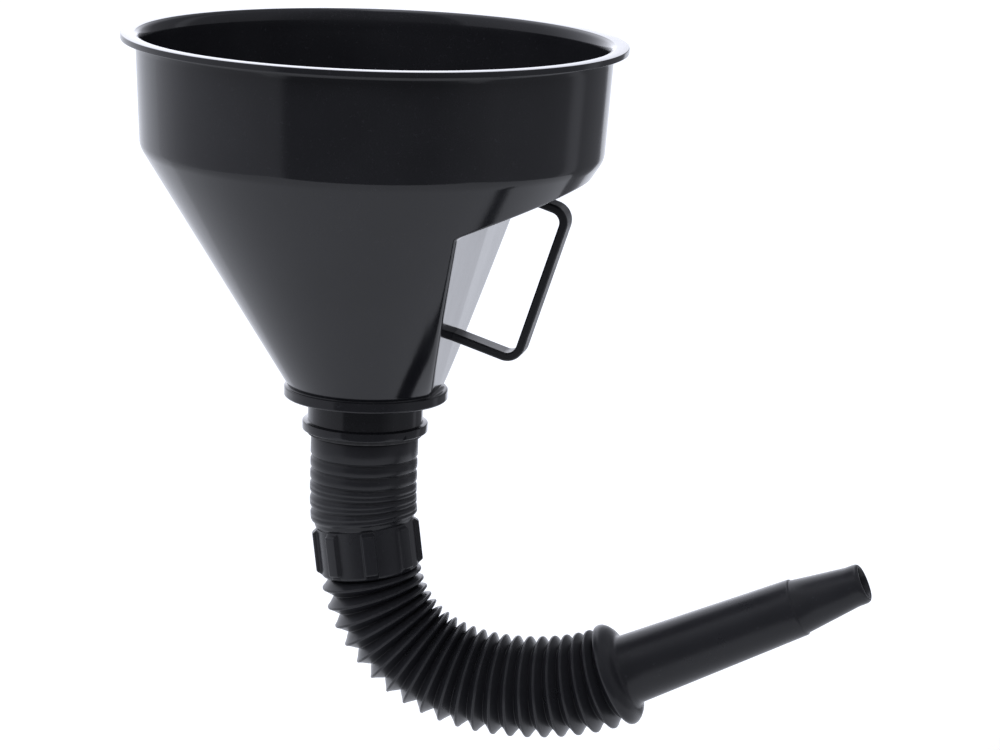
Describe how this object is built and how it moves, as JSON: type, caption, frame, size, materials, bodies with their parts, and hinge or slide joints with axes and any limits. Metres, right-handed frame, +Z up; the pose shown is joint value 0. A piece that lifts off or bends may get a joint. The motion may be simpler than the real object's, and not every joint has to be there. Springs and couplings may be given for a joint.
{
  "type": "funnel with flexible spout",
  "caption": "Round pouring funnel with a deep rim, a strap handle in a side pocket, a threaded neck and a screw-on bellows hose with a tapered nozzle.",
  "frame": {"origin": "centre of the mouth, level with the top of the rim, where a ring holder carries the funnel", "axes": "+Z up out of the mouth along the funnel's axis, +X towards the handle and the bend of the hose"},
  "size_m": [0.2461, 0.16, 0.2241],
  "materials": {
    "funnel_plastic": "glossy moulded",
    "hose_plastic": "satin",
    "seal_rubber": "matte",
    "strainer_plastic": "satin",
    "strainer_wire": "woven wire"
  },
  "bodies": {
    "funnel": {"funnel_bowl": "funnel_plastic", "handle": "funnel_plastic", "neck_fitting": "funnel_plastic"},
    "strainer": {"strainer_ring": "strainer_plastic", "strainer_gauze": "strainer_wire"},
    "seal": {"neck_seal": "seal_rubber"},
    "socket": {"hose_socket": "hose_plastic"},
    "flex_ring_1": {"flex_ring_1": "hose_plastic"},
    "flex_ring_2": {"flex_ring_2": "hose_plastic"},
    "grip_sleeve": {"grip_sleeve": "hose_plastic"},
    "hose_ring_01": {"hose_ring_01": "hose_plastic"},
    "hose_ring_02": {"hose_ring_02": "hose_plastic"},
    "hose_ring_03": {"hose_ring_03": "hose_plastic"},
    "hose_ring_04": {"hose_ring_04": "hose_plastic"},
    "hose_ring_05": {"hose_ring_05": "hose_plastic"},
    "hose_ring_06": {"hose_ring_06": "hose_plastic"},
    "hose_ring_07": {"hose_ring_07": "hose_plastic"},
    "hose_ring_08": {"hose_ring_08": "hose_plastic"},
    "hose_ring_09": {"hose_ring_09": "hose_plastic"},
    "hose_ring_10": {"hose_ring_10": "hose_plastic"},
    "hose_ring_11": {"hose_ring_11": "hose_plastic"},
    "hose_ring_12": {"hose_ring_12": "hose_plastic"},
    "hose_ring_13": {"hose_ring_13": "hose_plastic"},
    "hose_ring_14": {"hose_ring_14": "hose_plastic"},
    "hose_ring_15": {"hose_ring_15": "hose_plastic"},
    "hose_ring_16": {"hose_ring_16": "hose_plastic"},
    "hose_ring_17": {"hose_ring_17": "hose_plastic"},
    "hose_ring_18": {"hose_ring_18": "hose_plastic"},
    "hose_ring_19": {"hose_ring_19": "hose_plastic"},
    "hose_ring_20": {"hose_ring_20": "hose_plastic"},
    "nozzle": {"nozzle_collar": "hose_plastic", "nozzle": "hose_plastic"}
  },
  "joints": [
    {"name": "strainer_lift", "type": "slide", "parent": "funnel", "child": "strainer", "axis": [0, 0, 1], "range_m": [0, 0.13]},
    {"name": "seal_travel", "type": "slide", "parent": "funnel", "child": "seal", "axis": [0, 0, -1], "range_m": [0, 0.0164]},
    {"name": "hose_unscrew", "type": "hinge", "parent": "seal", "child": "socket", "pos_m": [0, 0, -0.1279], "axis": [0, 0, -1], "range_deg": [0, 1440]},
    {"name": "flex_bend_1", "type": "hinge", "parent": "socket", "child": "flex_ring_1", "pos_m": [0, 0, -0.1475], "axis": [0, -1, 0], "range_deg": [-2.75, 0.35]},
    {"name": "flex_bend_2", "type": "hinge", "parent": "flex_ring_1", "child": "flex_ring_2", "pos_m": [0.00019, 0, -0.1516], "axis": [0, -1, 0], "range_deg": [-2.75, 0.35]},
    {"name": "sleeve_bend", "type": "hinge", "parent": "flex_ring_2", "child": "grip_sleeve", "pos_m": [0.00059, 0, -0.15568], "axis": [0, -1, 0], "range_deg": [-2.75, 0.35]},
    {"name": "hose_bend", "type": "hinge", "parent": "grip_sleeve", "child": "hose_ring_01", "pos_m": [0.00315, 0, -0.17349], "axis": [0, -1, 0], "range_deg": [-5.62, 0.68]},
    {"name": "hose_bend_02", "type": "hinge", "parent": "hose_ring_01", "child": "hose_ring_02", "pos_m": [0.00431, 0, -0.17821], "axis": [0, -1, 0], "range_deg": [-6.26, 0.77]},
    {"name": "hose_bend_03", "type": "hinge", "parent": "hose_ring_02", "child": "hose_ring_03", "pos_m": [0.00598, 0, -0.18278], "axis": [0, -1, 0], "range_deg": [-6.78, 0.83]},
    {"name": "hose_bend_04", "type": "hinge", "parent": "hose_ring_03", "child": "hose_ring_04", "pos_m": [0.00817, 0, -0.18712], "axis": [0, -1, 0], "range_deg": [-7.15, 0.88]},
    {"name": "hose_bend_05", "type": "hinge", "parent": "hose_ring_04", "child": "hose_ring_05", "pos_m": [0.01088, 0, -0.19115], "axis": [0, -1, 0], "range_deg": [-7.34, 0.9]},
    {"name": "hose_bend_06", "type": "hinge", "parent": "hose_ring_05", "child": "hose_ring_06", "pos_m": [0.01409, 0, -0.1948], "axis": [0, -1, 0], "range_deg": [-7.34, 0.9]},
    {"name": "hose_bend_07", "type": "hinge", "parent": "hose_ring_06", "child": "hose_ring_07", "pos_m": [0.01773, 0, -0.19801], "axis": [0, -1, 0], "range_deg": [-7.15, 0.88]},
    {"name": "hose_bend_08", "type": "hinge", "parent": "hose_ring_07", "child": "hose_ring_08", "pos_m": [0.02175, 0, -0.20075], "axis": [0, -1, 0], "range_deg": [-6.78, 0.83]},
    {"name": "hose_bend_09", "type": "hinge", "parent": "hose_ring_08", "child": "hose_ring_09", "pos_m": [0.02606, 0, -0.203], "axis": [0, -1, 0], "range_deg": [-6.26, 0.77]},
    {"name": "hose_bend_10", "type": "hinge", "parent": "hose_ring_09", "child": "hose_ring_10", "pos_m": [0.03059, 0, -0.20476], "axis": [0, -1, 0], "range_deg": [-5.64, 0.69]},
    {"name": "hose_bend_11", "type": "hinge", "parent": "hose_ring_10", "child": "hose_ring_11", "pos_m": [0.03527, 0, -0.20607], "axis": [0, -1, 0], "range_deg": [-4.98, 0.62]},
    {"name": "hose_bend_12", "type": "hinge", "parent": "hose_ring_11", "child": "hose_ring_12", "pos_m": [0.04004, 0, -0.20697], "axis": [0, -1, 0], "range_deg": [-4.34, 0.54]},
    {"name": "hose_bend_13", "type": "hinge", "parent": "hose_ring_12", "child": "hose_ring_13", "pos_m": [0.04487, 0, -0.20751], "axis": [0, -1, 0], "range_deg": [-3.77, 0.47]},
    {"name": "hose_bend_14", "type": "hinge", "parent": "hose_ring_13", "child": "hose_ring_14", "pos_m": [0.04973, 0, -0.20774], "axis": [0, -1, 0], "range_deg": [-3.32, 0.41]},
    {"name": "hose_bend_15", "type": "hinge", "parent": "hose_ring_14", "child": "hose_ring_15", "pos_m": [0.05459, 0, -0.20768], "axis": [0, -1, 0], "range_deg": [-3.03, 0.38]},
    {"name": "hose_bend_16", "type": "hinge", "parent": "hose_ring_15", "child": "hose_ring_16", "pos_m": [0.05944, 0, -0.20737], "axis": [0, -1, 0], "range_deg": [-2.93, 0.37]},
    {"name": "hose_bend_17", "type": "hinge", "parent": "hose_ring_16", "child": "hose_ring_17", "pos_m": [0.06427, 0, -0.20681], "axis": [0, -1, 0], "range_deg": [-3.03, 0.38]},
    {"name": "hose_bend_18", "type": "hinge", "parent": "hose_ring_17", "child": "hose_ring_18", "pos_m": [0.06906, 0, -0.206], "axis": [0, -1, 0], "range_deg": [-3.32, 0.41]},
    {"name": "hose_bend_19", "type": "hinge", "parent": "hose_ring_18", "child": "hose_ring_19", "pos_m": [0.07379, 0, -0.20492], "axis": [0, -1, 0], "range_deg": [-3.77, 0.47]},
    {"name": "hose_bend_20", "type": "hinge", "parent": "hose_ring_19", "child": "hose_ring_20", "pos_m": [0.07845, 0, -0.20353], "axis": [0, -1, 0], "range_deg": [-4.34, 0.54]},
    {"name": "hose_bend_21", "type": "hinge", "parent": "hose_ring_20", "child": "nozzle", "pos_m": [0.08299, 0, -0.20179], "axis": [0, -1, 0], "range_deg": [-4.98, 0.62]}
  ],
  "couplings": [
    {"joint": "hose_unscrew", "follows": "seal_travel", "rad_per_m": 1532.5},
    {"joint": "flex_bend_1", "follows": "hose_bend", "ratio": 0.48542},
    {"joint": "flex_bend_2", "follows": "hose_bend", "ratio": 0.48542},
    {"joint": "sleeve_bend", "follows": "hose_bend", "ratio": 0.48542},
    {"joint": "hose_bend_02", "follows": "hose_bend", "ratio": 1.1095},
    {"joint": "hose_bend_03", "follows": "hose_bend", "ratio": 1.2015},
    {"joint": "hose_bend_04", "follows": "hose_bend", "ratio": 1.2678},
    {"joint": "hose_bend_05", "follows": "hose_bend", "ratio": 1.3025},
    {"joint": "hose_bend_06", "follows": "hose_bend", "ratio": 1.3025},
    {"joint": "hose_bend_07", "follows": "hose_bend", "ratio": 1.2678},
    {"joint": "hose_bend_08", "follows": "hose_bend", "ratio": 1.2015},
    {"joint": "hose_bend_09", "follows": "hose_bend", "ratio": 1.1095},
    {"joint": "hose_bend_10", "follows": "hose_bend", "ratio": 1},
    {"joint": "hose_bend_11", "follows": "hose_bend", "ratio": 0.88266},
    {"joint": "hose_bend_12", "follows": "hose_bend", "ratio": 0.76795},
    {"joint": "hose_bend_13", "follows": "hose_bend", "ratio": 0.66605},
    {"joint": "hose_bend_14", "follows": "hose_bend", "ratio": 0.58602},
    {"joint": "hose_bend_15", "follows": "hose_bend", "ratio": 0.53496},
    {"joint": "hose_bend_16", "follows": "hose_bend", "ratio": 0.51743},
    {"joint": "hose_bend_17", "follows": "hose_bend", "ratio": 0.53496},
    {"joint": "hose_bend_18", "follows": "hose_bend", "ratio": 0.58602},
    {"joint": "hose_bend_19", "follows": "hose_bend", "ratio": 0.66605},
    {"joint": "hose_bend_20", "follows": "hose_bend", "ratio": 0.76795},
    {"joint": "hose_bend_21", "follows": "hose_bend", "ratio": 0.88266}
  ]
}
